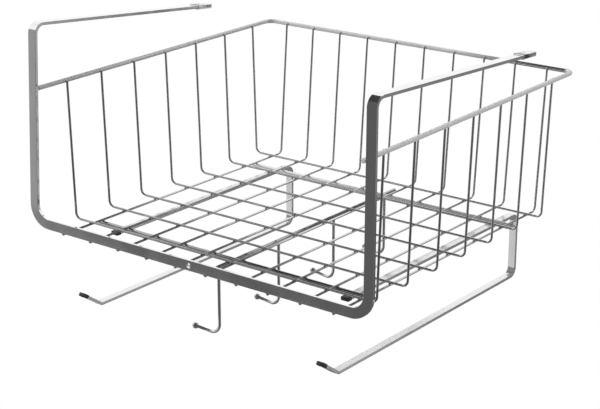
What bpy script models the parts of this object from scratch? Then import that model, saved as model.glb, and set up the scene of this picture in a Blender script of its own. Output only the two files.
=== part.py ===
"""Under shelf basket: a wire basket that hangs from a shelf by two sprung arms.

A bent flat bar makes the front frame and both arms. A thick wire rim, seven cross wires and ten
long wires are welded into a basket behind it. Under the floor two support rods carry a pair of
bent rails and a rod with four hooks. Units are metres, +Z is up and -Y is the open front. The
origin is where the shelf's front edge meets the arms: z = 0 is midway between the undersides of
the two arms where they leave the uprights, and y = 0 midway between the backs of the uprights.
"""
import math

import bmesh
import bpy
from mathutils import Vector

# Stock: flat bar, wire and rod
frame_bar_width = 0.010
frame_bar_thickness = 0.003
rail_bar_width = 0.008
rail_bar_thickness = 0.003
bar_edge_chamfer = 0.0005
thin_wire_diameter = 0.0023
rim_wire_diameter = 0.0045
rod_diameter = 0.004
hook_wire_diameter = 0.003
weld_gap = 0.0003

# Wire grid: the floor's pitch and reach
cross_wire_count = 7
cross_wire_pitch = 0.047
long_wire_count = 10
long_wire_pitch = 0.036
front_bar_setback = 0.0378
wire_end_overhang = 0.0020
floor_half_width = 0.1808
floor_back_run = 0.3022
wall_bend_radius = 0.006
wire_top_overrun = 0.0010

# Rim: height of its centreline over the floor wires at the front and at the back
rim_front_height = 0.1395
rim_back_height = 0.1435
rim_back_lean = 0.0146
rim_corner_radius = 0.009
rim_corner_steps = 6

# Front frame and arms
frame_half_width = 0.1992
frame_corner_radius = 0.018
left_upright_length = 0.1950
right_upright_length = 0.1881
upright_lean_back = math.radians(1.9)
upright_lean_in = math.radians(1.1)
arm_bend_radius = 0.009
arm_length = 0.2520
left_arm_dip = math.radians(5.55)
right_arm_dip = math.radians(2.65)
drain_hole_diameter = 0.0052

# Support rods under the floor
front_rod_setback = 0.018
back_rod_setback = 0.258
rod_half_length = 0.166

# Bent rails under the basket
rail_half_spacing = 0.1395
left_rail_shift = -0.0060
right_rail_shift = 0.0060
rail_top_start = 0.0100
rail_back_face = 0.2965
rail_drop = 0.0655
rail_bottom_start = -0.0087
rail_bend_radius = 0.008
rail_lip_bend_radius = 0.0035
rail_lip_length = 0.0275
rail_lip_rise = math.radians(35)

# Hook rod and hooks
hook_rod_start = 0.0010
hook_rod_end = 0.2900
first_hook_setback = 0.0030
hook_pitch = 0.0895
hook_drop = 0.0668
hook_bend_radius = 0.0150
hook_reach = 0.0310
hook_tip_rise = math.radians(4)
hook_turns = (math.radians(2), math.radians(8), math.radians(11), math.radians(15))
hook_ball_diameter = 0.0062

# Plastic sleeves on the arms and caps on the rails
cap_wall = 0.0006
arm_cap_length = 0.0220
rail_cap_length = 0.0050

# How finely bends and rounds are drawn
bend_steps = 6
corner_steps = 9
wire_resolution = 2
rim_resolution = 3
ball_segments = 16
ball_rings = 8
hole_segments = 24
cut_overrun = 0.0010

# Levels that follow from the stock sizes
wire_radius = thin_wire_diameter / 2
rim_radius = rim_wire_diameter / 2
rod_radius = rod_diameter / 2
long_wire_level = -wire_radius
cross_wire_level = long_wire_level + thin_wire_diameter + weld_gap
rod_level = long_wire_level - wire_radius - weld_gap - rod_radius
rail_top_level = rod_level - rod_radius - weld_gap - rail_bar_thickness / 2
rail_bottom_level = rail_top_level - rail_drop
hook_rod_level = rod_level - rod_diameter - weld_gap
hook_top_level = hook_rod_level - rod_radius - weld_gap
frame_bar_level = weld_gap + frame_bar_width / 2

collection = bpy.data.collections.new("under_shelf_basket")
cutters = bpy.data.collections.new("cutters_and_profiles")


def clear_scene():
    """Remove whatever the scene holds and link the two collections."""
    for old in list(bpy.data.objects):
        bpy.data.objects.remove(old, do_unlink=True)
    bpy.context.scene.collection.children.link(collection)
    bpy.context.scene.collection.children.link(cutters)


def make_material(name, colour, roughness, metallic):
    """A plain Principled finish."""
    material = bpy.data.materials.new(name)
    material.use_nodes = True
    shader = material.node_tree.nodes["Principled BSDF"]
    shader.inputs["Base Color"].default_value = (*colour, 1)
    shader.inputs["Roughness"].default_value = roughness
    shader.inputs["Metallic"].default_value = metallic
    return material


def bent_path(corners, radii, steps):
    """Points of a line through the corners, each inner corner rounded by its own radius."""
    points = [corners[0]]
    for before, corner, after, radius in zip(corners, corners[1:], corners[2:], radii):
        into = (corner - before).normalized()
        out = (after - corner).normalized()
        turn = into.angle(out)
        setback = radius * math.tan(turn / 2)
        axis = into.cross(out).normalized()
        to_centre = axis.cross(into)
        centre = corner - into * setback + to_centre * radius
        for step in range(steps + 1):
            angle = turn * step / steps
            points.append(centre - to_centre * radius * math.cos(angle) + into * radius * math.sin(angle))
    points.append(corners[-1])
    return points


def curve_object(name, points, material, tilt=0.0):
    """A curve object with one straight-sided spline through the points."""
    curve = bpy.data.curves.new(name, "CURVE")
    curve.dimensions = "3D"
    curve.twist_mode = "MINIMUM"
    curve.use_fill_caps = True
    spline = curve.splines.new("POLY")
    spline.points.add(len(points) - 1)
    for knot, point in zip(spline.points, points):
        knot.co = (*point, 1)
        knot.tilt = tilt
    curve.materials.append(material)
    thing = bpy.data.objects.new(name, curve)
    collection.objects.link(thing)
    return thing


def wire(name, points, diameter, material, resolution=wire_resolution):
    """A round wire or rod along the points."""
    thing = curve_object(name, points, material)
    thing.data.bevel_depth = diameter / 2
    thing.data.bevel_resolution = resolution
    return thing


def bar_profile(name, width, thickness):
    """The section of a flat bar with its four edges broken, as a guide curve."""
    across = width / 2
    deep = thickness / 2
    cut = bar_edge_chamfer
    outline = [
        (across - cut, -deep), (across, cut - deep), (across, deep - cut), (across - cut, deep),
        (cut - across, deep), (-across, deep - cut), (-across, cut - deep), (cut - across, -deep),
    ]
    curve = bpy.data.curves.new(name, "CURVE")
    curve.dimensions = "2D"
    curve.fill_mode = "NONE"
    spline = curve.splines.new("POLY")
    spline.points.add(len(outline) - 1)
    for knot, (x, y) in zip(spline.points, outline):
        knot.co = (x, y, 0, 1)
    spline.use_cyclic_u = True
    guide = bpy.data.objects.new(name, curve)
    guide.hide_render = True
    guide.display_type = "WIRE"
    cutters.objects.link(guide)
    return guide


def flat_bar(name, points, profile, material):
    """A flat bar bent along the points, its wide face across the first stretch."""
    thing = curve_object(name, points, material)
    thing.data.bevel_mode = "OBJECT"
    thing.data.bevel_object = profile
    return thing


def curve_to_mesh(thing):
    """Swap a curve object for a closed mesh object with the same name and place."""
    bpy.context.view_layer.update()
    evaluated = thing.evaluated_get(bpy.context.evaluated_depsgraph_get())
    mesh = bpy.data.meshes.new_from_object(evaluated)
    welder = bmesh.new()
    welder.from_mesh(mesh)
    bmesh.ops.remove_doubles(welder, verts=welder.verts, dist=weld_gap / 10)
    bmesh.ops.recalc_face_normals(welder, faces=welder.faces)
    welder.to_mesh(mesh)
    welder.free()
    name = thing.name
    place = thing.matrix_world.copy()
    bpy.data.objects.remove(thing, do_unlink=True)
    solid = bpy.data.objects.new(name, mesh)
    solid.matrix_world = place
    collection.objects.link(solid)
    return solid


def mesh_object(name, shape, material, home):
    """Turn a bmesh into an object of the given collection."""
    mesh = bpy.data.meshes.new(name)
    bmesh.ops.recalc_face_normals(shape, faces=shape.faces)
    shape.to_mesh(mesh)
    shape.free()
    if material:
        mesh.materials.append(material)
    thing = bpy.data.objects.new(name, mesh)
    home.objects.link(thing)
    return thing


def block(name, size, material, home):
    """A box centred on its origin."""
    shape = bmesh.new()
    bmesh.ops.create_cube(shape, size=1)
    bmesh.ops.scale(shape, vec=size, verts=shape.verts)
    return mesh_object(name, shape, material, home)


def add_boolean(thing, other, operation):
    """Cut another object out of this one, or join it on."""
    other.hide_render = True
    other.display_type = "WIRE"
    step = thing.modifiers.new(operation.lower(), "BOOLEAN")
    step.object = other
    step.operation = operation
    step.solver = "EXACT"


def rim_height(setback):
    """Height of the rim's centreline over the floor wires at a distance behind the first cross wire."""
    run = rim_back_setback + front_bar_setback
    share = (setback + front_bar_setback) / run
    return rim_front_height + (rim_back_height - rim_front_height) * share


def upright_inset(height):
    """How far an upright has leaned in and back at a height over the front bar."""
    rise = height - frame_bar_level
    return rise * math.tan(upright_lean_in), rise * math.tan(upright_lean_back)


def arm_start(side, upright_length):
    """Where the upright on one side, -1 for the left, turns into its arm."""
    return Vector((
        side * (frame_half_width - upright_length * math.tan(upright_lean_in)),
        upright_length * math.sin(upright_lean_back) - front_bar_setback,
        frame_bar_level + upright_length * math.cos(upright_lean_back),
    ))


clear_scene()
polished_steel = make_material("polished_steel", (0.62, 0.62, 0.63), 0.16, 1.0)
wire_steel = make_material("wire_steel", (0.58, 0.58, 0.59), 0.20, 1.0)
sleeve_plastic = make_material("sleeve_plastic", (0.85, 0.86, 0.86), 0.12, 0.0)
cap_plastic = make_material("cap_plastic", (0.02, 0.02, 0.02), 0.45, 0.0)

# The rim lies against the inner edges of the uprights, and the wire tops against the rim's inside
inset_at_rim, back_at_rim = upright_inset(rim_front_height)
rim_half_width = frame_half_width - inset_at_rim - frame_bar_width / 2 - weld_gap - rim_radius
rim_end_setback = back_at_rim - front_bar_setback - frame_bar_thickness / 2
rim_back_setback = floor_back_run + rim_back_lean
wall_top_half_width = rim_half_width - rim_radius - weld_gap - wire_radius
wall_top_setback = rim_back_setback - rim_radius - weld_gap - wire_radius

# Everything is built from the floor up, and this empty carries it to the shelf's front edge
middle_upright_length = (left_upright_length + right_upright_length) / 2
shelf_edge_setback = (middle_upright_length * math.sin(upright_lean_back) - front_bar_setback
                      + frame_bar_thickness / 2)
shelf_level = (frame_bar_level + middle_upright_length * math.cos(upright_lean_back)
               - frame_bar_thickness / 2)
shelf_edge = bpy.data.objects.new("shelf_edge", None)
shelf_edge.location = (0, -shelf_edge_setback, -shelf_level)
collection.objects.link(shelf_edge)

# Front frame: arm, upright, front bar, upright and arm, bent from one flat bar
frame_section = bar_profile("frame_bar_section", frame_bar_width, frame_bar_thickness)
left_arm_start = arm_start(-1, left_upright_length)
right_arm_start = arm_start(1, right_upright_length)
left_arm_run = Vector((0, math.cos(left_arm_dip), -math.sin(left_arm_dip)))
right_arm_run = Vector((0, math.cos(right_arm_dip), -math.sin(right_arm_dip)))
left_arm_end = left_arm_start + left_arm_run * arm_length
right_arm_end = right_arm_start + right_arm_run * arm_length
frame_corners = [
    left_arm_end,
    left_arm_start,
    Vector((-frame_half_width, -front_bar_setback, frame_bar_level)),
    Vector((frame_half_width, -front_bar_setback, frame_bar_level)),
    right_arm_start,
    right_arm_end,
]
frame_radii = [arm_bend_radius, frame_corner_radius, frame_corner_radius, arm_bend_radius]
frame_points = bent_path(frame_corners, frame_radii, corner_steps)
front_frame = flat_bar("front_frame", frame_points, frame_section, polished_steel)
front_frame = curve_to_mesh(front_frame)
hole_shape = bmesh.new()
bmesh.ops.create_cone(hole_shape, cap_ends=True, segments=hole_segments,
                      radius1=drain_hole_diameter / 2, radius2=drain_hole_diameter / 2,
                      depth=frame_bar_thickness + 2 * cut_overrun)
hole_cutter = mesh_object("drain_hole_cutter", hole_shape, None, cutters)
hole_cutter.rotation_euler = (math.radians(90), 0, 0)
hole_cutter.location = (0, -front_bar_setback, frame_bar_level)
add_boolean(front_frame, hole_cutter, "DIFFERENCE")

# Rim: one thick wire round three sides, its ends against the uprights
rim_corners = [
    Vector((-rim_half_width, rim_end_setback, rim_front_height)),
    Vector((-rim_half_width, rim_back_setback, rim_back_height)),
    Vector((rim_half_width, rim_back_setback, rim_back_height)),
    Vector((rim_half_width, rim_end_setback, rim_front_height)),
]
rim_points = bent_path(rim_corners, [rim_corner_radius] * 2, rim_corner_steps)
wire("rim", rim_points, rim_wire_diameter, polished_steel, rim_resolution)

# Cross wires: left wall, floor and right wall in one U, from front to back
for number in range(cross_wire_count):
    setback = number * cross_wire_pitch
    top = rim_height(setback) + wire_top_overrun
    outline = [
        Vector((-wall_top_half_width, setback, top)),
        Vector((-floor_half_width, setback, cross_wire_level)),
        Vector((floor_half_width, setback, cross_wire_level)),
        Vector((wall_top_half_width, setback, top)),
    ]
    wire(f"cross_wire_{number + 1}", bent_path(outline, [wall_bend_radius] * 2, bend_steps),
         thin_wire_diameter, wire_steel)

# Long wires: under the front bar, along the floor and up the back wall, from left to right
wire_start = -front_bar_setback - frame_bar_thickness / 2 - wire_end_overhang
for number in range(long_wire_count):
    x = (number - (long_wire_count - 1) / 2) * long_wire_pitch
    outline = [
        Vector((x, wire_start, long_wire_level)),
        Vector((x, floor_back_run, long_wire_level)),
        Vector((x, wall_top_setback, rim_back_height + wire_top_overrun)),
    ]
    wire(f"long_wire_{number + 1}", bent_path(outline, [wall_bend_radius], bend_steps),
         thin_wire_diameter, wire_steel)

# Support rods across the underside of the long wires
for name, setback in (("front_support_rod", front_rod_setback), ("back_support_rod", back_rod_setback)):
    ends = [Vector((side * rod_half_length, setback, rod_level)) for side in (-1, 1)]
    wire(name, ends, rod_diameter, polished_steel)

# Bent rails: top leg under the rods, drop at the back, long bottom leg and a raised lip in front
rail_section = bar_profile("rail_bar_section", rail_bar_width, rail_bar_thickness)
rail_back = rail_back_face - rail_bar_thickness / 2
lip_run = rail_lip_length * math.cos(rail_lip_rise)
lip_climb = rail_lip_length * math.sin(rail_lip_rise)
lip_end_setback = rail_bottom_start - lip_run
lip_end_level = rail_bottom_level + lip_climb
rail_radii = [rail_bend_radius, rail_bend_radius, rail_lip_bend_radius]
rail_outlines = {}
for side_name, x, shift in (("left", -rail_half_spacing, left_rail_shift),
                            ("right", rail_half_spacing, right_rail_shift)):
    rail_outlines[side_name] = [
        Vector((x, rail_top_start, rail_top_level)),
        Vector((x, rail_back + shift, rail_top_level)),
        Vector((x, rail_back + shift, rail_bottom_level)),
        Vector((x, rail_bottom_start + shift, rail_bottom_level)),
        Vector((x, lip_end_setback + shift, lip_end_level)),
    ]
    rail_points = bent_path(rail_outlines[side_name], rail_radii, bend_steps)
    curve_to_mesh(flat_bar(f"{side_name}_rail", rail_points, rail_section, polished_steel))

# Hook rod along the middle, under both support rods
hook_rod_ends = [Vector((0, setback, hook_rod_level)) for setback in (hook_rod_start, hook_rod_end)]
wire("hook_rod", hook_rod_ends, rod_diameter, polished_steel)

# Hooks: a straight stem, a round turn to the left and a short leg with a ball on its end
hook_floor = hook_top_level - hook_drop
hook_ball_x = -hook_reach
hook_ball_level = hook_floor + hook_reach * math.tan(hook_tip_rise)
hook_outline = [
    Vector((0, 0, hook_top_level)),
    Vector((0, 0, hook_floor)),
    Vector((hook_ball_x, 0, hook_ball_level)),
]
for number, turn in enumerate(hook_turns):
    setback = first_hook_setback + number * hook_pitch
    hook = wire(f"hook_{number + 1}", bent_path(hook_outline, [hook_bend_radius], bend_steps),
                hook_wire_diameter, polished_steel)
    hook = curve_to_mesh(hook)
    hook.location = (0, setback, 0)
    hook.rotation_euler = (0, 0, -turn)
    ball_shape = bmesh.new()
    bmesh.ops.create_uvsphere(ball_shape, u_segments=ball_segments, v_segments=ball_rings,
                              radius=hook_ball_diameter / 2)
    ball = mesh_object(f"hook_ball_{number + 1}", ball_shape, None, cutters)
    ball.location = (hook_ball_x * math.cos(turn), setback - hook_ball_x * math.sin(turn), hook_ball_level)
    ball.rotation_euler = (0, 0, -turn)
    add_boolean(hook, ball, "UNION")


def end_cap(name, bar_width, bar_thickness, length, end, pitch, material):
    """A plastic sleeve over the end of a flat bar that points back and up by its pitch angle."""
    clearance = 2 * weld_gap
    outside = (bar_width + clearance + 2 * cap_wall, length, bar_thickness + clearance + 2 * cap_wall)
    pocket = (bar_width + clearance, length, bar_thickness + clearance)
    cap = block(name, outside, material, collection)
    rounding = cap.modifiers.new("rounding", "BEVEL")
    rounding.width = cap_wall
    rounding.segments = 2
    cutter = block(f"{name}_pocket", pocket, None, cutters)
    along = Vector((0, math.cos(pitch), math.sin(pitch)))
    middle = end + along * (weld_gap + cap_wall - length / 2)
    cap.location = middle
    cutter.location = end + along * (weld_gap - length / 2)
    cap.rotation_euler = (pitch, 0, 0)
    cutter.rotation_euler = (pitch, 0, 0)
    add_boolean(cap, cutter, "DIFFERENCE")


# End caps: long clear sleeves on the arms, short black caps on both ends of each rail
for side_name, end, dip in (("left", left_arm_end, left_arm_dip), ("right", right_arm_end, right_arm_dip)):
    end_cap(f"{side_name}_arm_cap", frame_bar_width, frame_bar_thickness, arm_cap_length,
            end, -dip, sleeve_plastic)
for side_name, corners in rail_outlines.items():
    end_cap(f"{side_name}_rail_top_cap", rail_bar_width, rail_bar_thickness, rail_cap_length,
            corners[0], math.pi, cap_plastic)
    end_cap(f"{side_name}_rail_lip_cap", rail_bar_width, rail_bar_thickness, rail_cap_length,
            corners[-1], math.pi - rail_lip_rise, cap_plastic)

for thing in list(collection.objects) + list(cutters.objects):
    if thing is not shelf_edge:
        thing.parent = shelf_edge
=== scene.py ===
"""Looks of an under shelf basket: chromed flat bar, wire and rod, with plastic ends.

The basket hangs from a shelf by two arms. Everything is in metres, +Z is up, -Y is the open front,
and the origin is the middle of the shelf's front edge, level with the arms' undersides.
"""
import math

import bmesh
import bpy
from mathutils import Matrix, Vector


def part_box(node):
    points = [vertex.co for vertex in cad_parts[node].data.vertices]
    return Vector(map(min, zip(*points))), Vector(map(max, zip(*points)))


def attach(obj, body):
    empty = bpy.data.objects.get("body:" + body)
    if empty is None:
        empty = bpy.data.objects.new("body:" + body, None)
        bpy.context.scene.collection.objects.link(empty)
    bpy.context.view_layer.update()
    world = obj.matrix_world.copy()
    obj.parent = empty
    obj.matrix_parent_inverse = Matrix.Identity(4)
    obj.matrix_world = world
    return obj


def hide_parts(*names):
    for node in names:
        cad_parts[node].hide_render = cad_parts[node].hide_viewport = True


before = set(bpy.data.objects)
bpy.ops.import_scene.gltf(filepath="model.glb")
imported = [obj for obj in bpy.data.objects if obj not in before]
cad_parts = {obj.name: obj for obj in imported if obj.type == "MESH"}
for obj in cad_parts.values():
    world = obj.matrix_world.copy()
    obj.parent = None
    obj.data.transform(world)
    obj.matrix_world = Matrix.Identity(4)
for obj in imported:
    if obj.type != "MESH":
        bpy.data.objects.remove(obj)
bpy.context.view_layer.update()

bpy.ops.object.select_all(action="DESELECT")

# Front frame: one length of flat bar with rolled edges, bent into the left arm, the left upright,
# the front bar, the right upright and the right arm. It is polished and chromed as one piece, and
# a small hole in the front bar lets the plating bath drain.
bar_width = 0.010
bar_thickness = 0.003
bar_edge_radius = 0.0003
frame_half_width = 0.19919
left_upright_length = 0.19492
right_upright_length = 0.1881
upright_lean_back = math.radians(1.9)
upright_lean_in = math.radians(1.1)
arm_length = 0.2520
left_arm_dip = math.radians(5.55)
right_arm_dip = math.radians(2.65)
arm_bend_radius = 0.009
frame_corner_radius = 0.018
drain_hole_diameter = 0.0052
drain_hole_facets = 40
drain_hole_margin = 0.00003
drain_hole_lip = 0.0003
drain_hole_lip_steps = 3
drill_length = 0.009
edge_rounding_steps = 4
bar_bend_steps = 14
corner_bend_steps = 24
bar_end_inset = 0.05
bar_end_crown = 0.0001
crown_steps = (0.5, 1.0)
bar_smooth_angle = math.radians(40)
merge_distance = 0.000002
frame_tone = (0.93, 0.93, 0.94)
frame_polish = 0.07
frame_smear = 0.05
smear_scale = 34
smear_detail = 4
smear_range = (0.35, 0.70)
tint_range = (0.30, 0.72)
tint_depth = 0.94
pit_scale = 900
pit_detail = 2
pit_strength = 0.02
pit_depth = 0.00003


def chrome_finish(name, tone, polish, smear, metal=1.0):
    """Plated steel: a bright metal whose polish is uneven by a faint smear and fine pits."""
    finish = bpy.data.materials.new(name)
    finish.use_nodes = True
    nodes = finish.node_tree.nodes
    links = finish.node_tree.links
    shader = nodes["Principled BSDF"]
    shader.inputs["Metallic"].default_value = metal
    place = nodes.new("ShaderNodeTexCoord")
    clouds = nodes.new("ShaderNodeTexNoise")
    clouds.inputs["Scale"].default_value = smear_scale
    clouds.inputs["Detail"].default_value = smear_detail
    links.new(place.outputs["Object"], clouds.inputs["Vector"])
    dulling = nodes.new("ShaderNodeMapRange")
    dulling.inputs["From Min"].default_value = smear_range[0]
    dulling.inputs["From Max"].default_value = smear_range[1]
    dulling.inputs["To Min"].default_value = polish
    dulling.inputs["To Max"].default_value = polish + smear
    links.new(clouds.outputs["Fac"], dulling.inputs["Value"])
    links.new(dulling.outputs["Result"], shader.inputs["Roughness"])
    tint = nodes.new("ShaderNodeValToRGB")
    tint.color_ramp.elements[0].position = tint_range[0]
    tint.color_ramp.elements[0].color = (*[channel * tint_depth for channel in tone], 1)
    tint.color_ramp.elements[1].position = tint_range[1]
    tint.color_ramp.elements[1].color = (*tone, 1)
    links.new(clouds.outputs["Fac"], tint.inputs["Fac"])
    links.new(tint.outputs["Color"], shader.inputs["Base Color"])
    pits = nodes.new("ShaderNodeTexNoise")
    pits.inputs["Scale"].default_value = pit_scale
    pits.inputs["Detail"].default_value = pit_detail
    links.new(place.outputs["Object"], pits.inputs["Vector"])
    relief = nodes.new("ShaderNodeBump")
    relief.inputs["Strength"].default_value = pit_strength
    relief.inputs["Distance"].default_value = pit_depth
    links.new(pits.outputs["Fac"], relief.inputs["Height"])
    links.new(relief.outputs["Normal"], shader.inputs["Normal"])
    return finish


def bar_end(width, thickness, edge_radius, place, heading):
    """The open outline of a flat bar's end, its width across X, ready to be pushed along."""
    across = (Vector((1, 0, 0)) - heading * heading.x).normalized()
    turn = Matrix((across, heading.cross(across), heading)).transposed().to_4x4()
    size = Matrix.Diagonal((width, thickness, 1, 1))
    bpy.ops.mesh.primitive_plane_add(size=1)
    bpy.context.object.matrix_world = Matrix.Translation(place) @ turn @ size
    bpy.ops.object.transform_apply(location=True, rotation=True, scale=True)
    bpy.ops.object.mode_set(mode="EDIT")
    bpy.ops.mesh.select_all(action="SELECT")
    bpy.ops.mesh.bevel(offset=edge_radius, offset_type="OFFSET", segments=edge_rounding_steps,
                       affect="VERTICES")
    bpy.ops.mesh.delete(type="ONLY_FACE")
    bpy.ops.mesh.select_all(action="SELECT")


def push_and_bend(corners, radii, steps):
    """Push the selected outline through the corners and spin it round each inner one."""
    here = corners[0]
    for corner, after, radius, step_count in zip(corners[1:], corners[2:], radii, steps):
        into = (corner - here).normalized()
        out = (after - corner).normalized()
        turn = into.angle(out)
        setback = radius * math.tan(turn / 2)
        axis = into.cross(out).normalized()
        bend_start = corner - into * setback
        bpy.ops.mesh.extrude_region_move(TRANSFORM_OT_translate={"value": bend_start - here})
        # Spin turns clockwise round its axis
        bend_centre = bend_start + axis.cross(into) * radius
        bpy.ops.mesh.spin(steps=step_count, angle=-turn, center=bend_centre, axis=axis)
        here = corner + out * setback
    bpy.ops.mesh.extrude_region_move(TRANSFORM_OT_translate={"value": corners[-1] - here})


def close_end(place, outward, inset, crown):
    """Round off the selected open end in a few steps and close it."""
    reached = 0
    for share in crown_steps:
        step = outward * crown * (share - reached)
        reached = share
        bpy.ops.mesh.extrude_region_move(TRANSFORM_OT_translate={"value": step})
        shrink = 1 - inset * share * share
        centre = place + outward * crown * share
        bpy.ops.transform.resize(value=(shrink, shrink, shrink), center_override=centre)
    bpy.ops.mesh.edge_face_add()


def close_both_ends(corners, inset, crown):
    """Close the end that is still selected, then the open one where the piece began."""
    close_end(corners[-1], (corners[-1] - corners[-2]).normalized(), inset, crown)
    bpy.ops.mesh.select_all(action="DESELECT")
    bpy.ops.mesh.select_non_manifold()
    close_end(corners[0], (corners[0] - corners[1]).normalized(), inset, crown)


def leave_stock(name, finish, node, smooth_angle):
    """Leave edit mode with a clean, smooth piece that stands for its node."""
    bpy.ops.mesh.select_all(action="SELECT")
    bpy.ops.mesh.remove_doubles(threshold=merge_distance)
    bpy.ops.mesh.normals_make_consistent(inside=False)
    bpy.ops.object.mode_set(mode="OBJECT")
    bpy.ops.object.shade_smooth_by_angle(angle=smooth_angle)
    piece = bpy.context.object
    piece.name = name
    piece.data.name = name
    piece.data.materials.append(finish)
    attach(piece, "root")
    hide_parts(node)
    bpy.ops.object.select_all(action="DESELECT")
    return piece


def keep_flats_flat(piece):
    """Weight the shading to the broad faces, so that a flat bar mirrors like a flat bar."""
    bpy.context.view_layer.objects.active = piece
    weighting = piece.modifiers.new("flat_faces", "WEIGHTED_NORMAL")
    weighting.keep_sharp = True
    bpy.ops.object.modifier_apply(modifier=weighting.name)


frame_chrome = chrome_finish("polished_bar_chrome", frame_tone, frame_polish, frame_smear)
middle_upright_length = (left_upright_length + right_upright_length) / 2
front_bar_back = -bar_thickness / 2 - middle_upright_length * math.sin(upright_lean_back)
front_bar_level = bar_thickness / 2 - middle_upright_length * math.cos(upright_lean_back)


def shoulder(side, upright_length):
    """The corner where the upright on one side, -1 for the left, turns into its arm."""
    return Vector((
        side * (frame_half_width - upright_length * math.tan(upright_lean_in)),
        front_bar_back + upright_length * math.sin(upright_lean_back),
        front_bar_level + upright_length * math.cos(upright_lean_back),
    ))


left_shoulder = shoulder(-1, left_upright_length)
right_shoulder = shoulder(1, right_upright_length)
left_arm_heading = Vector((0, math.cos(left_arm_dip), -math.sin(left_arm_dip)))
right_arm_heading = Vector((0, math.cos(right_arm_dip), -math.sin(right_arm_dip)))
frame_line = [
    left_shoulder + left_arm_heading * arm_length,
    left_shoulder,
    Vector((-frame_half_width, front_bar_back, front_bar_level)),
    Vector((frame_half_width, front_bar_back, front_bar_level)),
    right_shoulder,
    right_shoulder + right_arm_heading * arm_length,
]
bar_end(bar_width, bar_thickness, bar_edge_radius, frame_line[0], -left_arm_heading)
push_and_bend(
    frame_line,
    (arm_bend_radius, frame_corner_radius, frame_corner_radius, arm_bend_radius),
    (bar_bend_steps, corner_bend_steps, corner_bend_steps, bar_bend_steps),
)
close_both_ends(frame_line, bar_end_inset, bar_end_crown)
front_frame = leave_stock("front_frame_bar", frame_chrome, "front_frame", bar_smooth_angle)
bpy.ops.mesh.primitive_cylinder_add(
    vertices=drain_hole_facets,
    radius=drain_hole_diameter / 2,
    depth=drill_length,
    location=(0, front_bar_back, front_bar_level),
    rotation=(math.radians(90), 0, 0),
)
hole_drill = bpy.context.object
bpy.context.view_layer.objects.active = front_frame
drilling = front_frame.modifiers.new("drain_hole", "BOOLEAN")
drilling.object = hole_drill
drilling.operation = "DIFFERENCE"
bpy.ops.object.modifier_apply(modifier=drilling.name)
bpy.data.objects.remove(hole_drill)
front_frame.select_set(True)
bpy.ops.object.mode_set(mode="EDIT")
bpy.ops.mesh.select_all(action="DESELECT")
frame_mesh = bmesh.from_edit_mesh(front_frame.data)
hole_reach = drain_hole_diameter / 2 + drain_hole_margin
for edge in frame_mesh.edges:
    off_axis = [math.hypot(end.co.x, end.co.z - front_bar_level) for end in edge.verts]
    on_face = abs(edge.verts[0].co.y - edge.verts[1].co.y) < bar_thickness / 2
    if on_face and max(off_axis) < hole_reach:
        edge.select = True
frame_mesh.select_flush(True)
bmesh.update_edit_mesh(front_frame.data)
bpy.ops.mesh.bevel(offset=drain_hole_lip, segments=drain_hole_lip_steps, affect="EDGES")
bpy.ops.object.mode_set(mode="OBJECT")
bpy.ops.object.shade_smooth_by_angle(angle=bar_smooth_angle)
keep_flats_flat(front_frame)
bpy.ops.object.select_all(action="DESELECT")

# Rim: one thick chromed wire round the left side, the back and the right side of the basket. Its
# two ends are welded to the inner edges of the uprights, and every wall wire ends on its inside.
# The plating is satin along most of it, and bright only on the back near the right corner.
rim_diameter = 0.0045
rim_corner_radius = 0.009
rim_front_rise = 0.1395
rim_back_rise = 0.1435
rim_back_lean = 0.01459
thin_wire_diameter = 0.0023
front_bar_setback = 0.0378
floor_back_run = 0.3022
rim_sides = 24
rim_bend_steps = 14
wire_end_inset = 0.35
wire_end_crown = 0.15
wire_smooth_angle = math.radians(60)
rim_tone = (0.92, 0.92, 0.93)
rim_polish = 0.10
rim_smear = 0.06
rim_finish_reach = 0.205
# Each stop is a place between the left side, 0, and the right one, 1, and the level there
rim_satin_stops = (
    (0.045, 0.35), (0.075, 0.40), (0.62, 0.40), (0.80, 0.04), (0.94, 0.04), (0.955, 0.50),
)
rim_metal_stops = (
    (0.045, 0.80), (0.075, 0.45), (0.62, 0.45), (0.80, 1.00), (0.94, 1.00), (0.955, 0.45),
)


def wire_end(diameter, sides, place, heading):
    """The open ring of a round wire's end, ready to be pushed along."""
    bpy.ops.mesh.primitive_circle_add(vertices=sides, radius=diameter / 2, location=place,
                                      rotation=heading.to_track_quat("Z", "Y").to_euler())
    bpy.ops.object.transform_apply(location=True, rotation=True, scale=True)
    bpy.ops.object.mode_set(mode="EDIT")
    bpy.ops.mesh.select_all(action="SELECT")


def draw_wire(name, corners, radii, steps, diameter, sides, finish, node):
    """A round wire or rod bent through the corners, its cut ends slightly rounded."""
    wire_end(diameter, sides, corners[0], (corners[1] - corners[0]).normalized())
    push_and_bend(corners, radii, steps)
    close_both_ends(corners, wire_end_inset, diameter * wire_end_crown)
    leave_stock(name, finish, node, wire_smooth_angle)


def value_along(tree, axis, places, levels):
    """A value that runs from one level to another between two places on an axis of the piece."""
    place = tree.nodes.new("ShaderNodeTexCoord")
    split = tree.nodes.new("ShaderNodeSeparateXYZ")
    tree.links.new(place.outputs["Object"], split.inputs["Vector"])
    change = tree.nodes.new("ShaderNodeMapRange")
    change.inputs["From Min"].default_value = places[0]
    change.inputs["From Max"].default_value = places[1]
    change.inputs["To Min"].default_value = levels[0]
    change.inputs["To Max"].default_value = levels[1]
    tree.links.new(split.outputs[axis], change.inputs["Value"])
    return change.outputs["Result"]


rim_chrome = chrome_finish("rim_chrome", rim_tone, rim_polish, rim_smear)
rim_nodes = rim_chrome.node_tree.nodes
rim_links = rim_chrome.node_tree.links
across_rim = value_along(rim_chrome.node_tree, "X", (-rim_finish_reach, rim_finish_reach), (0, 1))


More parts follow.
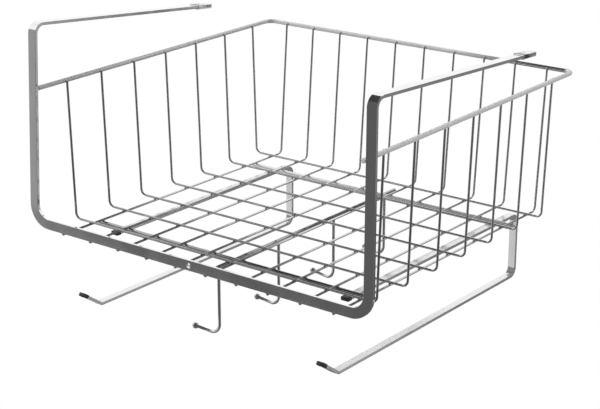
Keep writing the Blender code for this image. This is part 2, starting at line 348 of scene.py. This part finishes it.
def plating_along_rim(stops):
    """A value that changes from the rim's left side to its right one, with a level at each stop."""
    ramp = rim_nodes.new("ShaderNodeValToRGB")
    stretches = ramp.color_ramp.elements
    while len(stretches) < len(stops):
        stretches.new(0.5)
    for stretch, (place, level) in zip(stretches, stops):
        stretch.position = place
        stretch.color = (level, level, level, 1)
    rim_links.new(across_rim, ramp.inputs["Fac"])
    return ramp.outputs["Color"]


rim_shader = rim_nodes["Principled BSDF"]
rim_dullness = rim_nodes.new("ShaderNodeMath")
rim_dullness.operation = "ADD"
rim_links.new(plating_along_rim(rim_satin_stops), rim_dullness.inputs[0])
rim_links.new(rim_shader.inputs["Roughness"].links[0].from_socket, rim_dullness.inputs[1])
rim_links.new(rim_dullness.outputs["Value"], rim_shader.inputs["Roughness"])
rim_links.new(plating_along_rim(rim_metal_stops), rim_shader.inputs["Metallic"])
floor_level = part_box("long_wire_1")[0].z + thin_wire_diameter
cross_box_low, cross_box_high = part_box("cross_wire_1")
grid_front = (cross_box_low.y + cross_box_high.y) / 2
rim_box_low, rim_box_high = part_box("rim")
rim_half_width = rim_box_high.x - rim_diameter / 2
rim_start = rim_box_low.y
rim_back = grid_front + floor_back_run + rim_back_lean
rim_line = [
    Vector((-rim_half_width, rim_start, floor_level + rim_front_rise)),
    Vector((-rim_half_width, rim_back, floor_level + rim_back_rise)),
    Vector((rim_half_width, rim_back, floor_level + rim_back_rise)),
    Vector((rim_half_width, rim_start, floor_level + rim_front_rise)),
]
draw_wire("rim_wire", rim_line, (rim_corner_radius,) * 2, (rim_bend_steps,) * 2,
          rim_diameter, rim_sides, rim_chrome, "rim")


def rim_height(setback):
    """Height of the rim's middle at a distance behind the shelf's front edge."""
    share = (setback - (grid_front - front_bar_setback)) / (rim_back - grid_front + front_bar_setback)
    return floor_level + rim_front_rise + (rim_back_rise - rim_front_rise) * share


# Cross wires: seven thin wires, each bent into the left wall, the floor and the right wall in one
# U. They lie on the long wires and are resistance welded to them, and then the whole grid is chromed.
cross_wire_count = 7
cross_wire_pitch = 0.047
floor_half_width = 0.1808
wall_bend_radius = 0.006
wire_top_overrun = 0.0003
weld_gap = 0.0003
wire_sides = 16
wall_bend_steps = 12
wire_tone = (0.90, 0.90, 0.91)
wire_polish = 0.05
wire_smear = 0.03
# Painted shade: where along the basket, front to back, the wires' colour is darkened, and by how much
painted_shade_places = (0.02, 0.30)
painted_shade_levels = (0.60, 1.06)
wall_top_half_width = rim_half_width - rim_diameter / 2 - weld_gap - thin_wire_diameter / 2
cross_wire_level = floor_level + thin_wire_diameter / 2 + weld_gap
wire_chrome = chrome_finish("wire_chrome", wire_tone, wire_polish, wire_smear)
wire_tree = wire_chrome.node_tree
wire_shader = wire_tree.nodes["Principled BSDF"]
# Painted shade and light: the wires' colour is darkened toward the open front and made a little paler
# at the back wall, standing in for the shade and dark reflections on the near wires
painted_shade_factor = value_along(wire_tree, "Y", painted_shade_places, painted_shade_levels)
painted_shade_multiply = wire_tree.nodes.new("ShaderNodeVectorMath")
painted_shade_multiply.operation = "MULTIPLY"
wire_tree.links.new(wire_shader.inputs["Base Color"].links[0].from_socket, painted_shade_multiply.inputs[0])
wire_tree.links.new(painted_shade_factor, painted_shade_multiply.inputs[1])
wire_tree.links.new(painted_shade_multiply.outputs["Vector"], wire_shader.inputs["Base Color"])
cross_wire_setbacks = [grid_front + number * cross_wire_pitch for number in range(cross_wire_count)]
for number, setback in enumerate(cross_wire_setbacks, 1):
    top = rim_height(setback) + wire_top_overrun
    outline = [
        Vector((-wall_top_half_width, setback, top)),
        Vector((-floor_half_width, setback, cross_wire_level)),
        Vector((floor_half_width, setback, cross_wire_level)),
        Vector((wall_top_half_width, setback, top)),
    ]
    draw_wire(f"floor_and_wall_wire_{number}", outline, (wall_bend_radius,) * 2,
              (wall_bend_steps,) * 2, thin_wire_diameter, wire_sides, wire_chrome,
              f"cross_wire_{number}")

# Long wires: ten thin wires, each bent into the floor from front to back and the back wall. Their
# cut front ends are welded under the front bar and show as a row of small nubs.
long_wire_count = 10
long_wire_pitch = 0.036
wire_end_setback = 0.0018
wire_start = front_bar_back - bar_thickness / 2 + wire_end_setback
long_wire_level = floor_level - thin_wire_diameter / 2
wall_top_setback = rim_back - rim_diameter / 2 - weld_gap - thin_wire_diameter / 2
middle_of_row = (long_wire_count - 1) / 2
long_wire_places = [(number - middle_of_row) * long_wire_pitch for number in range(long_wire_count)]
for number, x in enumerate(long_wire_places, 1):
    outline = [
        Vector((x, wire_start, long_wire_level)),
        Vector((x, grid_front + floor_back_run, long_wire_level)),
        Vector((x, wall_top_setback, floor_level + rim_back_rise + wire_top_overrun)),
    ]
    draw_wire(f"floor_and_back_wire_{number}", outline, (wall_bend_radius,), (wall_bend_steps,),
              thin_wire_diameter, wire_sides, wire_chrome, f"long_wire_{number}")

# Support rods: two straight chromed rods across the underside of the floor. The long wires are
# welded to their tops, and the rails and the hook rod hang from their undersides. The front one has
# painted shade, a darker colour for the shade under the floor, and the back one is paler and a little
# satin.
rod_diameter = 0.004
rod_sides = 20
# Painted shade: the front support rod and the hook rod get a darker chrome colour for the shade under
# the floor
painted_shade_rod_tone = (0.44, 0.44, 0.45)
rod_polish = 0.10
rod_smear = 0.05
pale_rod_polish = 0.22
pale_rod_smear = 0.08
pale_rod_metal = 0.7
shaded_rod_chrome = chrome_finish("shaded_rod_chrome", painted_shade_rod_tone, rod_polish, rod_smear)
pale_rod_chrome = chrome_finish("pale_rod_chrome", wire_tone, pale_rod_polish, pale_rod_smear,
                                pale_rod_metal)
rod_places = []
for node, finish in (("front_support_rod", shaded_rod_chrome), ("back_support_rod", pale_rod_chrome)):
    low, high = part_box(node)
    setback = (low.y + high.y) / 2
    line = [Vector((end, setback, (low.z + high.z) / 2)) for end in (low.x, high.x)]
    draw_wire(f"{node}_bar", line, (), (), rod_diameter, rod_sides, finish, node)
    rod_places.append((setback, high.z))

# Rails: two bent flat bars with rolled edges and slightly satin chrome. Each has a top leg welded
# under the support rods, a drop at the back, a long lower leg on which things slide in, and a short
# lip that is bent up in front.
rail_width = 0.008
rail_thickness = 0.003
rail_edge_radius = 0.0003
rail_bend_radius = 0.008
lip_bend_radius = 0.0035
lip_length = 0.0275
lip_rise = math.radians(35)
rail_top_start = 0.0100
rail_bottom_start = -0.0087
rail_shift = {"left": -0.0060, "right": 0.0060}
rail_polish = 0.20
rail_smear = 0.06
rail_metal = 0.82
rail_chrome = chrome_finish("rail_chrome", frame_tone, rail_polish, rail_smear, rail_metal)
rail_lines = {}
for side in ("left", "right"):
    low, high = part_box(f"{side}_rail")
    x = (low.x + high.x) / 2
    top_level = high.z - rail_thickness / 2
    bottom_level = low.z + rail_thickness / 2
    back = high.y - rail_thickness / 2
    lip_start = Vector((x, grid_front + rail_bottom_start + rail_shift[side], bottom_level))
    lip_run = Vector((0, -math.cos(lip_rise), math.sin(lip_rise)))
    rail_lines[side] = [
        Vector((x, grid_front + rail_top_start, top_level)),
        Vector((x, back, top_level)),
        Vector((x, back, bottom_level)),
        lip_start,
        lip_start + lip_run * lip_length,
    ]
    bar_end(rail_width, rail_thickness, rail_edge_radius, rail_lines[side][0], Vector((0, 1, 0)))
    push_and_bend(rail_lines[side], (rail_bend_radius, rail_bend_radius, lip_bend_radius),
                  (bar_bend_steps,) * 3)
    close_both_ends(rail_lines[side], bar_end_inset, bar_end_crown)
    rail = leave_stock(f"{side}_rail_bar", rail_chrome, f"{side}_rail", bar_smooth_angle)
    keep_flats_flat(rail)

# Hook rod: one straight chromed rod from front to back, with the same painted shade as the front
# support rod, and welded under the middle of both support rods. It carries the four hooks.
hook_rod_low, hook_rod_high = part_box("hook_rod")
hook_rod_level = (hook_rod_low.z + hook_rod_high.z) / 2
hook_rod_line = [Vector((0, end, hook_rod_level)) for end in (hook_rod_low.y, hook_rod_high.y)]
draw_wire("hook_rod_bar", hook_rod_line, (), (), rod_diameter, rod_sides, shaded_rod_chrome,
          "hook_rod")

# Hooks: four pieces of thicker wire, each with a straight stem welded under the hook rod and a round
# turn to the left. The tip is upset into a ball so that it doesn't scratch. Each hook is turned a
# little more than the one in front of it.
hook_wire_diameter = 0.003
hook_sides = 18
hook_drop = 0.0653
hook_bend_radius = 0.0105
hook_reach = 0.0310
hook_tip_rise = math.radians(1.3)
first_hook_setback = 0.0030
hook_pitch = 0.0895
hook_turns = (math.radians(2), math.radians(8), math.radians(11), math.radians(15))
hook_ball_diameter = 0.0062
hook_bend_steps = 18
ball_rings = 14
hook_polish = 0.07
hook_smear = 0.04


def upset_ball(centre, heading, wire_diameter, ball_diameter, rings):
    """Swell the selected open end of a wire into a ball round the centre, and close it."""
    neck = math.asin(wire_diameter / ball_diameter)
    reached = -ball_diameter / 2 * math.cos(neck)
    ring_radius = wire_diameter / 2
    for ring in range(1, rings):
        angle = neck + (math.pi - neck) * ring / rings
        advance = -ball_diameter / 2 * math.cos(angle) - reached
        reached += advance
        growth = ball_diameter / 2 * math.sin(angle) / ring_radius
        ring_radius *= growth
        ring_centre = centre + heading * reached
        bpy.ops.mesh.extrude_region_move(TRANSFORM_OT_translate={"value": heading * advance})
        bpy.ops.transform.resize(value=(growth, growth, growth), center_override=ring_centre)
    bpy.ops.mesh.edge_face_add()


hook_chrome = chrome_finish("hook_chrome", wire_tone, hook_polish, hook_smear)
hook_top = hook_rod_low.z - weld_gap
hook_floor = hook_top - hook_drop
ball_neck = math.sqrt(hook_ball_diameter ** 2 - hook_wire_diameter ** 2) / 2
first_hook = grid_front + first_hook_setback
hook_setbacks = [first_hook + number * hook_pitch for number in range(len(hook_turns))]
for number, (setback, turn) in enumerate(zip(hook_setbacks, hook_turns), 1):
    leftward = Vector((-math.cos(turn), math.sin(turn), 0))
    foot = Vector((0, setback, hook_floor))
    ball_centre = foot + leftward * hook_reach + Vector((0, 0, hook_reach * math.tan(hook_tip_rise)))
    tip_heading = (ball_centre - foot).normalized()
    outline = [Vector((0, setback, hook_top)), foot, ball_centre - tip_heading * ball_neck]
    wire_end(hook_wire_diameter, hook_sides, outline[0], Vector((0, 0, -1)))
    push_and_bend(outline, (hook_bend_radius,), (hook_bend_steps,))
    upset_ball(ball_centre, tip_heading, hook_wire_diameter, hook_ball_diameter, ball_rings)
    bpy.ops.mesh.select_all(action="DESELECT")
    bpy.ops.mesh.select_non_manifold()
    close_end(outline[0], Vector((0, 0, 1)), wire_end_inset, weld_gap)
    leave_stock(f"hook_wire_{number}", hook_chrome, f"hook_{number}", wire_smooth_angle)

# Welds: where two wires, rods or bars touch, the metal has run into a small bead, which the chrome
# then covers. There is one at each crossing of the grid, each wire's end, each end of the rim, and
# each joint of the rods, rails and hooks underneath.
bead_subdivisions = 2
bead_unevenness = 0.15
# Half the size of a bead from side to side, from front to back, and upwards
grid_bead = (0.0013, 0.0013, 0.0006)
rod_bead = (0.0013, 0.0019, 0.0007)
side_rim_bead = (0.0006, 0.0014, 0.0008)
back_rim_bead = (0.0014, 0.0006, 0.0012)
front_bar_bead = (0.0013, 0.0012, 0.0006)
rim_end_bead = (0.0006, 0.0013, 0.0017)
rail_bead = (0.0032, 0.0013, 0.0006)
hook_rod_bead = (0.0013, 0.0013, 0.0006)
hook_bead = (0.0019, 0.0021, 0.0008)
# Painted shade: the beads' chrome is darker than the wires', standing in for the shade and dark
# reflections where the wires cross and join
painted_shade_weld_tone = (0.60, 0.60, 0.61)
weld_polish = 0.20
weld_smear = 0.12
shaded_weld_chrome = chrome_finish("shaded_weld_chrome", painted_shade_weld_tone, weld_polish, weld_smear)


def weld_beads(name, places, size):
    """Small uneven beads of one size at the places, as one piece."""
    bpy.ops.mesh.primitive_ico_sphere_add(subdivisions=bead_subdivisions, radius=1)
    bpy.ops.object.mode_set(mode="EDIT")
    bpy.ops.mesh.select_all(action="SELECT")
    bpy.ops.transform.vertex_random(offset=bead_unevenness, seed=len(places))
    bpy.ops.transform.resize(value=size, center_override=(0, 0, 0))
    bpy.ops.object.mode_set(mode="OBJECT")
    bead = bpy.context.object
    beads = [bead]
    for place in places[1:]:
        copy = bead.copy()
        copy.data = bead.data.copy()
        copy.location = place
        bpy.context.collection.objects.link(copy)
        beads.append(copy)
    bead.location = places[0]
    bpy.ops.object.select_all(action="DESELECT")
    for one_bead in beads:
        one_bead.select_set(True)
    bpy.context.view_layer.objects.active = bead
    bpy.ops.object.join()
    bpy.ops.object.transform_apply(location=True, rotation=True, scale=True)
    bpy.ops.object.shade_smooth()
    bead.name = name
    bead.data.materials.append(shaded_weld_chrome)
    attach(bead, "root")
    bpy.ops.object.select_all(action="DESELECT")


crossing_level = floor_level + weld_gap / 2
crossings = [Vector((x, y, crossing_level)) for x in long_wire_places for y in cross_wire_setbacks]
weld_beads("grid_welds", crossings, grid_bead)
rod_tops = [Vector((x, y, top + weld_gap / 2)) for y, top in rod_places for x in long_wire_places]
weld_beads("rod_welds", rod_tops, rod_bead)
wall_tops = [Vector((side * (wall_top_half_width + thin_wire_diameter / 2), y, rim_height(y)))
             for side in (-1, 1) for y in cross_wire_setbacks]
weld_beads("side_rim_welds", wall_tops, side_rim_bead)
back_tops = [Vector((x, wall_top_setback + thin_wire_diameter / 2, floor_level + rim_back_rise))
             for x in long_wire_places]
weld_beads("back_rim_welds", back_tops, back_rim_bead)
bar_underside = [Vector((x, front_bar_back, floor_level)) for x in long_wire_places]
weld_beads("front_bar_welds", bar_underside, front_bar_bead)
rim_ends = [Vector((side * (rim_half_width + rim_diameter / 2), rim_start + bar_thickness / 2,
                    floor_level + rim_front_rise)) for side in (-1, 1)]
weld_beads("rim_end_welds", rim_ends, rim_end_bead)
rod_underside = hook_rod_high.z + weld_gap / 2
rod_setbacks = [y for y, top in rod_places]
rail_tops = [Vector((line[0].x, y, rod_underside))
             for line in rail_lines.values() for y in rod_setbacks]
weld_beads("rail_welds", rail_tops, rail_bead)
hook_rod_tops = [Vector((0, y, rod_underside)) for y in rod_setbacks]
weld_beads("hook_rod_welds", hook_rod_tops, hook_rod_bead)
hook_tops = [Vector((0, y, hook_rod_low.z)) for y in hook_setbacks]
weld_beads("hook_welds", hook_tops, hook_bead)

# Arm sleeves and rail caps: clear plastic sleeves pushed over the tips of the arms, so that they
# don't scratch the shelf, and small black plastic caps pushed on the four ends of the rails.
sleeve_fit = 0.0002
sleeve_wall = 0.0004
cap_fit = 0.00005
cap_wall = 0.0002
arm_cap_length = 0.0220
rail_cap_length = 0.0050
mouth_rise_in_walls = 0.8
mouth_length_in_rises = 1.5
mouth_slope_in_rises = 0.8
sleeve_end_inset = 0.10
mottle_scale = 160
clear_colour = (0.88, 0.88, 0.89)
clear_gloss = (0.0, 0.04)
clear_bending = 1.35
black_colour = (0.032, 0.032, 0.033)
black_gloss = (0.20, 0.38)
black_bending = 1.5


def moulded_plastic(name, colour, gloss, clearness, light_bending):
    """Plastic as it comes from the mould, with a gloss that is faintly mottled."""
    plastic = bpy.data.materials.new(name)
    plastic.use_nodes = True
    nodes = plastic.node_tree.nodes
    links = plastic.node_tree.links
    shader = nodes["Principled BSDF"]
    shader.inputs["Base Color"].default_value = (*colour, 1)
    shader.inputs["Transmission Weight"].default_value = clearness
    shader.inputs["IOR"].default_value = light_bending
    place = nodes.new("ShaderNodeTexCoord")
    mottle = nodes.new("ShaderNodeTexNoise")
    mottle.inputs["Scale"].default_value = mottle_scale
    links.new(place.outputs["Object"], mottle.inputs["Vector"])
    dulling = nodes.new("ShaderNodeMapRange")
    dulling.inputs["To Min"].default_value = gloss[0]
    dulling.inputs["To Max"].default_value = gloss[1]
    links.new(mottle.outputs["Fac"], dulling.inputs["Value"])
    links.new(dulling.outputs["Result"], shader.inputs["Roughness"])
    return plastic


def end_sleeve(name, bar_size, length, fit, wall_thickness, tip, heading, plastic, node):
    """A sleeve over the tip of a flat bar, with a raised mouth and a closed end."""
    width, thickness, edge_radius = bar_size
    over = fit + wall_thickness
    shut = tip + heading * over
    mouth = shut - heading * length
    rise = wall_thickness * mouth_rise_in_walls
    mouth_straight = heading * rise * mouth_length_in_rises
    mouth_slope = heading * rise * mouth_slope_in_rises
    shrink = 1 - rise / width
    outside = over + rise
    bar_end(width + 2 * outside, thickness + 2 * outside, edge_radius + outside, mouth, heading)
    bpy.ops.mesh.extrude_region_move(TRANSFORM_OT_translate={"value": mouth_straight})
    bpy.ops.mesh.extrude_region_move(TRANSFORM_OT_translate={"value": mouth_slope})
    bpy.ops.transform.resize(value=(shrink, shrink, shrink), center_override=mouth)
    rest_of_way = shut - mouth - mouth_straight - mouth_slope - heading * over
    bpy.ops.mesh.extrude_region_move(TRANSFORM_OT_translate={"value": rest_of_way})
    close_end(shut - heading * over, heading, sleeve_end_inset, over)
    bpy.ops.mesh.select_all(action="SELECT")
    bpy.ops.mesh.normals_make_consistent(inside=False)
    bpy.ops.object.mode_set(mode="OBJECT")
    piece = bpy.context.object
    wall = piece.modifiers.new("wall", "SOLIDIFY")
    wall.thickness = wall_thickness
    wall.offset = -1
    bpy.ops.object.modifier_apply(modifier=wall.name)
    bpy.ops.object.shade_smooth_by_angle(angle=bar_smooth_angle)
    piece.name = name
    piece.data.materials.append(plastic)
    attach(piece, "root")
    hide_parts(node)
    bpy.ops.object.select_all(action="DESELECT")


clear_plastic = moulded_plastic("clear_plastic", clear_colour, clear_gloss, 1, clear_bending)
black_plastic = moulded_plastic("black_plastic", black_colour, black_gloss, 0, black_bending)
arm_bar = (bar_width, bar_thickness, bar_edge_radius)
end_sleeve("left_arm_sleeve", arm_bar, arm_cap_length, sleeve_fit, sleeve_wall, frame_line[0],
           left_arm_heading, clear_plastic, "left_arm_cap")
end_sleeve("right_arm_sleeve", arm_bar, arm_cap_length, sleeve_fit, sleeve_wall, frame_line[-1],
           right_arm_heading, clear_plastic, "right_arm_cap")
rail_bar = (rail_width, rail_thickness, rail_edge_radius)
for side, line in rail_lines.items():
    end_sleeve(f"{side}_rail_top_end", rail_bar, rail_cap_length, cap_fit, cap_wall, line[0],
               Vector((0, -1, 0)), black_plastic, f"{side}_rail_top_cap")
    end_sleeve(f"{side}_rail_lip_end", rail_bar, rail_cap_length, cap_fit, cap_wall, line[-1],
               (line[-1] - line[-2]).normalized(), black_plastic, f"{side}_rail_lip_cap")

# Floor and cards: a pale floor far below, and grey cards that only the chrome sees, as a studio
# puts round polished metal so that it doesn't vanish into a white ground.
card_ends = (-0.5, 0.5)
studio_foot = -1.9
studio_top = 1.6
studio_front = -1.5
studio_back = 2.2
floor_size = 16
floor_depth = -2.2
floor_shade = 0.8
floor_roughness = 0.8


def grey_card(name, low, high, levels):
    """An upright or level card between two corners, its grey running from one level to another."""
    middle = (Vector(low) + Vector(high)) / 2
    span = Vector(high) - Vector(low)
    bpy.ops.mesh.primitive_plane_add(size=1, location=middle)
    card = bpy.context.object
    card.name = name
    if span.z == 0:
        card.scale = (span.x, span.y, 1)
    else:
        card.rotation_euler = (math.radians(90), 0, math.atan2(span.y, span.x))
        card.scale = (math.hypot(span.x, span.y), span.z, 1)
    paint = bpy.data.materials.new(f"{name}_paint")
    paint.use_nodes = True
    nodes = paint.node_tree.nodes
    links = paint.node_tree.links
    nodes.remove(nodes["Principled BSDF"])
    glow = nodes.new("ShaderNodeEmission")
    links.new(value_along(paint.node_tree, "X", card_ends, levels), glow.inputs["Strength"])
    links.new(glow.outputs["Emission"], nodes["Material Output"].inputs["Surface"])
    card.data.materials.append(paint)
    card.visible_camera = False
    card.visible_diffuse = False
    card.visible_shadow = False
    bpy.ops.object.select_all(action="DESELECT")


# Each card's name, its two opposite corners, and the grey at its one end and its other
grey_cards = (
    ("front_card",
     (-0.9, studio_front, studio_foot), (1.3, studio_front, studio_top), (0.105, 0.08)),
    ("front_middle_card",
     (-1.4, studio_front, studio_foot), (-0.9, studio_front, studio_top), (0.12, 0.105)),
    ("front_left_card",
     (-2.8, studio_front, studio_foot), (-1.4, studio_front, 1.0), (0.42, 0.11)),
    ("high_left_card",
     (-2.8, -1.49, -0.85), (-1.6, -1.49, 1.0), (0.50, 0.26)),
    ("left_card",
     (-2.8, studio_front, studio_foot), (-2.81, 0.8, 0.2), (0.42, 0.15)),
    ("front_right_card",
     (1.3, studio_front, studio_foot), (2.6, 0.4, studio_top), (0.07, 0.12)),
    ("right_card",
     (2.6, 0.4, studio_foot), (2.7, 1.5, studio_top), (0.12, 0.20)),
    ("ceiling_card",
     (-1.5, studio_front, studio_top), (2.0, 1.1, studio_top), (0.05, 0.06)),
    ("ceiling_edge_card",
     (-1.85, studio_front, studio_top), (-1.5, 1.1, studio_top), (0.90, 0.06)),
    ("back_right_foot_card",
     (0.1, studio_back, studio_foot), (1.76, studio_back, -1.42), (0.50, 0.50)),
    ("back_right_low_card",
     (0.1, studio_back, -1.42), (1.76, studio_back, -0.92), (0.08, 0.08)),
    ("back_right_card",
     (0.1, studio_back, -0.92), (1.76, studio_back, -0.35), (0.20, 0.20)),
    ("back_right_high_card",
     (0.1, studio_back, -0.35), (1.76, studio_back, studio_top), (0.16, 0.16)),
    ("back_left_high_card",
     (-0.80, studio_back, 0.4), (0.1, studio_back, 1.9), (0.30, 0.12)),
    ("far_right_card",
     (1.76, studio_back, studio_foot), (2.7, 1.6, 0.95), (0.20, 0.75)),
    ("back_left_low_card",
     (-2.6, 1.4, -1.6), (-0.4, studio_back, -0.45), (0.25, 0.50)),
    ("under_card",
     (-0.9, -1.0, -0.9), (1.1, 1.1, -0.9), (0.14, 0.12)),
    ("low_front_card",
     (-1.15, -0.7, -0.90), (-0.35, -0.7, -0.57), (0.85, 0.85)),
)
for name, low, high, levels in grey_cards:
    grey_card(name, low, high, levels)

bpy.ops.mesh.primitive_plane_add(size=floor_size, location=(0, 0, floor_depth))
floor = bpy.context.object
floor.name = "pale_floor"
floor_paint = bpy.data.materials.new("pale_floor_paint")
floor_paint.use_nodes = True
floor.data.materials.append(floor_paint)


def seen_directly(tree):
    """A value of 1 for what the camera sees, also by a reflection or through clear plastic."""
    rays = tree.nodes.new("ShaderNodeLightPath")
    either = tree.nodes.new("ShaderNodeMath")
    either.operation = "MAXIMUM"
    tree.links.new(rays.outputs["Is Camera Ray"], either.inputs[0])
    tree.links.new(rays.outputs["Is Glossy Ray"], either.inputs[1])
    any_of = tree.nodes.new("ShaderNodeMath")
    any_of.operation = "MAXIMUM"
    tree.links.new(either.outputs["Value"], any_of.inputs[0])
    tree.links.new(rays.outputs["Is Transmission Ray"], any_of.inputs[1])
    return any_of.outputs["Value"]


floor_tree = floor_paint.node_tree
floor_shader = floor_tree.nodes["Principled BSDF"]
floor_output = floor_tree.nodes["Material Output"]
floor_shader.inputs["Base Color"].default_value = (floor_shade, floor_shade, floor_shade, 1)
floor_shader.inputs["Roughness"].default_value = floor_roughness
white_ground = floor_tree.nodes.new("ShaderNodeEmission")
ground_choice = floor_tree.nodes.new("ShaderNodeMixShader")
floor_tree.links.new(seen_directly(floor_tree), ground_choice.inputs["Fac"])
floor_tree.links.new(floor_shader.outputs["BSDF"], ground_choice.inputs[1])
floor_tree.links.new(white_ground.outputs["Emission"], ground_choice.inputs[2])
floor_tree.links.new(ground_choice.outputs["Shader"], floor_output.inputs["Surface"])

# Light: a white surround that the camera, the chrome and the clear plastic see, and two soft boxes
# for the light itself, at a level where a colour shows about as it is written.
ambient_level = 0.6
soft_boxes = (
    ("top_soft_box", (-0.6, 0.3, 2.2), 1.8, 18),
    ("front_soft_box", (1.2, -1.8, 1.6), 1.2, 8),
)
world = bpy.data.worlds.new("white_surround")
bpy.context.scene.world = world
world.use_nodes = True
sky = world.node_tree
ambient = sky.nodes["Background"]
ambient.inputs["Color"].default_value = (ambient_level, ambient_level, ambient_level, 1)
white_sky = sky.nodes.new("ShaderNodeBackground")
white_sky.inputs["Color"].default_value = (1, 1, 1, 1)
sky_choice = sky.nodes.new("ShaderNodeMixShader")
sky.links.new(seen_directly(sky), sky_choice.inputs["Fac"])
sky.links.new(ambient.outputs["Background"], sky_choice.inputs[1])
sky.links.new(white_sky.outputs["Background"], sky_choice.inputs[2])
sky.links.new(sky_choice.outputs["Shader"], sky.nodes["World Output"].inputs["Surface"])
for name, place, size, power in soft_boxes:
    lamp = bpy.data.lights.new(name, "AREA")
    lamp.size = size
    lamp.energy = power
    soft_box = bpy.data.objects.new(name, lamp)
    soft_box.location = place
    soft_box.rotation_euler = (-Vector(place)).to_track_quat("-Z", "Y").to_euler()
    soft_box.visible_glossy = False
    bpy.context.scene.collection.objects.link(soft_box)

# Camera: to the right of the open front and a little above, where the photograph was taken from.
# Its place, turn and lens were solved together with the basket's own sizes.
camera_azimuth = math.radians(37.624)
camera_elevation = math.radians(18.833)
camera_roll = math.radians(0.034)
camera_place = Vector((0.92927, -1.04930, 0.34301))
image_width = 600
focal_length_in_pixels = 1645.45
sensor_width = 36
backward = Vector((
    math.sin(camera_azimuth) * math.cos(camera_elevation),
    -math.cos(camera_azimuth) * math.cos(camera_elevation),
    math.sin(camera_elevation),
))
rightward = Vector((math.cos(camera_azimuth), math.sin(camera_azimuth), 0))
upward = backward.cross(rightward)
rolled_right = rightward * math.cos(camera_roll) + upward * math.sin(camera_roll)
rolled_up = upward * math.cos(camera_roll) - rightward * math.sin(camera_roll)
camera_data = bpy.data.cameras.new("camera")
camera_data.sensor_width = sensor_width
camera_data.lens = focal_length_in_pixels * sensor_width / image_width
camera = bpy.data.objects.new("camera", camera_data)
camera_turn = Matrix((rolled_right, rolled_up, backward)).transposed().to_4x4()
camera.matrix_world = Matrix.Translation(camera_place) @ camera_turn
bpy.context.scene.collection.objects.link(camera)
bpy.context.scene.camera = camera
bpy.context.scene.view_settings.view_transform = "Standard"
